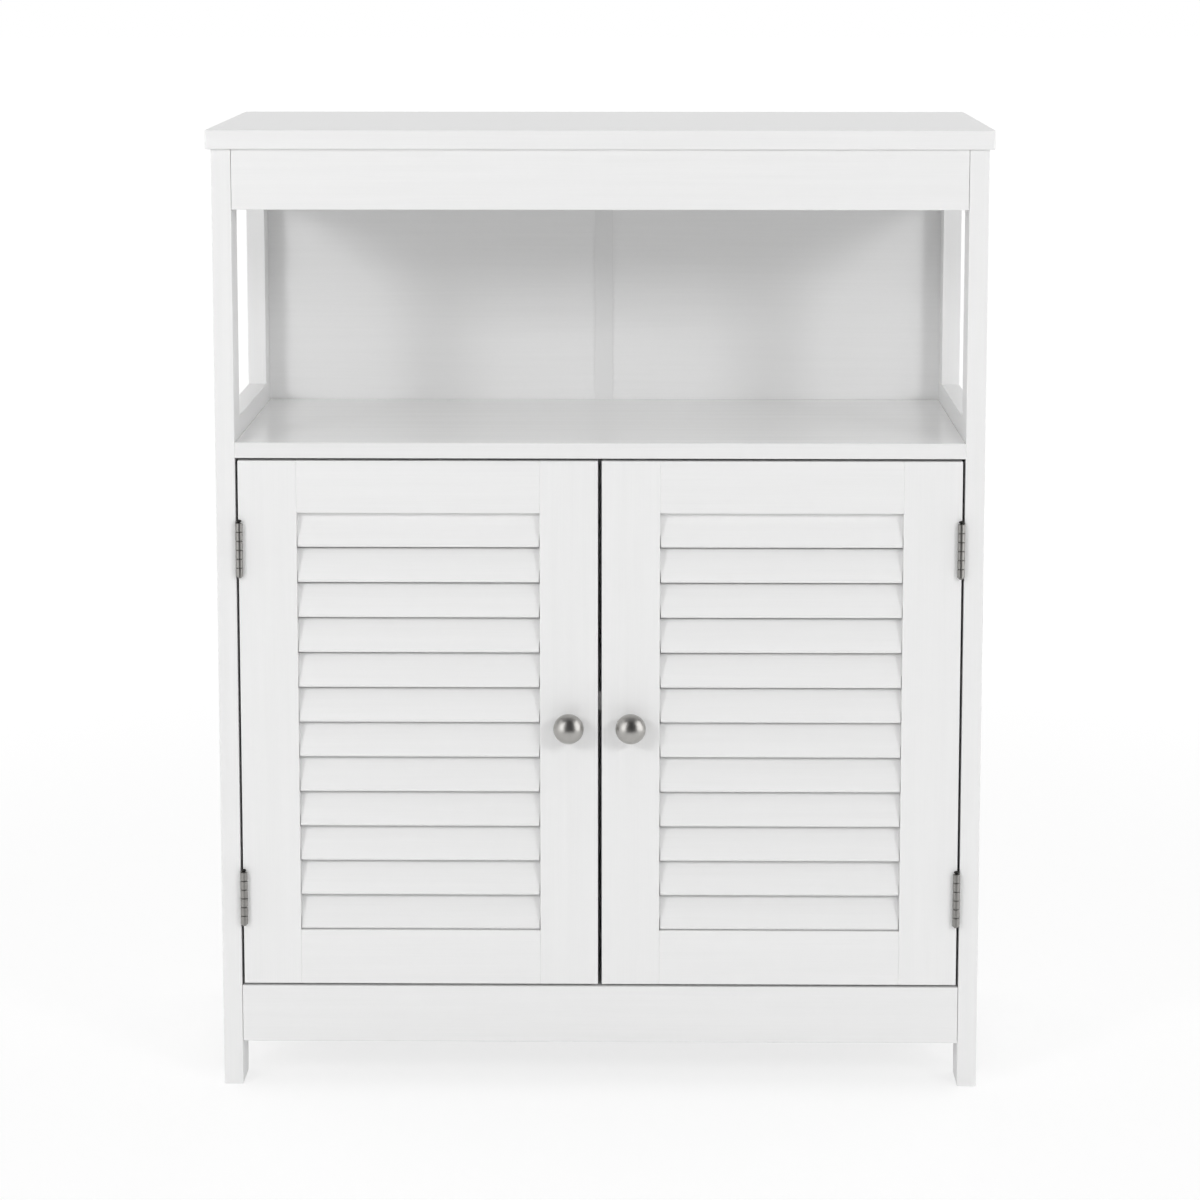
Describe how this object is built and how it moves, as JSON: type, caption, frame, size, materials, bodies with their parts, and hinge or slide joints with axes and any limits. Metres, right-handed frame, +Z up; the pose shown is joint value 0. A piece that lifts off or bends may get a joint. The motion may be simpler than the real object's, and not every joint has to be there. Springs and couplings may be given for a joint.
{
  "type": "louvred door cabinet",
  "caption": "White free-standing cabinet with an open compartment above and a cupboard below, closed by hinged louvred doors with round knobs.",
  "frame": {"origin": "middle of the outline seen from above, on the floor", "axes": "+X right, +Y back, +Z up; the doors face -Y"},
  "size_m": [0.6, 0.319, 0.75],
  "materials": {
    "white_paint": "satin white paint on board, with a faint brushed grain",
    "white_back_panel": "smooth white-faced thin board",
    "white_strip_plastic": "matt extruded plastic",
    "white_fitting_plastic": "moulded plastic",
    "satin_nickel": "satin nickel plate, finely brushed",
    "zinc_steel": "zinc-plated steel",
    "magnet_iron": "dark sintered magnet with steel pole faces",
    "beech_dowel": "raw beech"
  },
  "bodies": {
    "case": {"back_joint_strip": "white_strip_plastic", "bottom_board": "white_paint", "bottom_front_rail": "white_paint", "cam_bolts": "zinc_steel", "cam_discs": "zinc_steel", "case_hinge_screws": "satin_nickel", "catch_housings": "white_fitting_plastic", "catch_magnets": "magnet_iron", "catch_screws": "zinc_steel", "dowels": "beech_dowel", "inner_shelf": "white_paint", "left_back_panel": "white_back_panel", "left_back_post": "white_paint", "left_front_post": "white_paint", "left_lower_hinge_case_leaf": "satin_nickel", "left_lower_hinge_pin": "satin_nickel", "left_side_panel": "white_paint", "left_side_rail": "white_paint", "left_upper_hinge_case_leaf": "satin_nickel", "left_upper_hinge_pin": "satin_nickel", "open_shelf": "white_paint", "right_back_panel": "white_back_panel", "right_back_post": "white_paint", "right_front_post": "white_paint", "right_lower_hinge_case_leaf": "satin_nickel", "right_lower_hinge_pin": "satin_nickel", "right_side_panel": "white_paint", "right_side_rail": "white_paint", "right_upper_hinge_case_leaf": "satin_nickel", "right_upper_hinge_pin": "satin_nickel", "shelf_pins": "zinc_steel", "top_board": "white_paint", "top_front_rail": "white_paint"},
    "left_door": {"left_door_bottom_rail": "white_paint", "left_door_hinge_screws": "satin_nickel", "left_door_hinge_stile": "white_paint", "left_door_latch_stile": "white_paint", "left_door_slats": "white_paint", "left_door_strike_plate": "zinc_steel", "left_door_strike_screws": "zinc_steel", "left_door_top_rail": "white_paint", "left_knob": "satin_nickel", "left_knob_screw": "zinc_steel", "left_lower_hinge_door_leaf": "satin_nickel", "left_upper_hinge_door_leaf": "satin_nickel"},
    "right_door": {"right_door_bottom_rail": "white_paint", "right_door_hinge_screws": "satin_nickel", "right_door_hinge_stile": "white_paint", "right_door_latch_stile": "white_paint", "right_door_slats": "white_paint", "right_door_strike_plate": "zinc_steel", "right_door_strike_screws": "zinc_steel", "right_door_top_rail": "white_paint", "right_knob": "satin_nickel", "right_knob_screw": "zinc_steel", "right_lower_hinge_door_leaf": "satin_nickel", "right_upper_hinge_door_leaf": "satin_nickel"}
  },
  "joints": [
    {"name": "left_door_hinge", "type": "hinge", "parent": "case", "child": "left_door", "pos_m": [-0.2782, -0.1384, 0.289], "axis": [0, 0, -1], "range_deg": [0, 170]},
    {"name": "right_door_hinge", "type": "hinge", "parent": "case", "child": "right_door", "pos_m": [0.2782, -0.1384, 0.289], "axis": [0, 0, 1], "range_deg": [0, 170]}
  ]
}
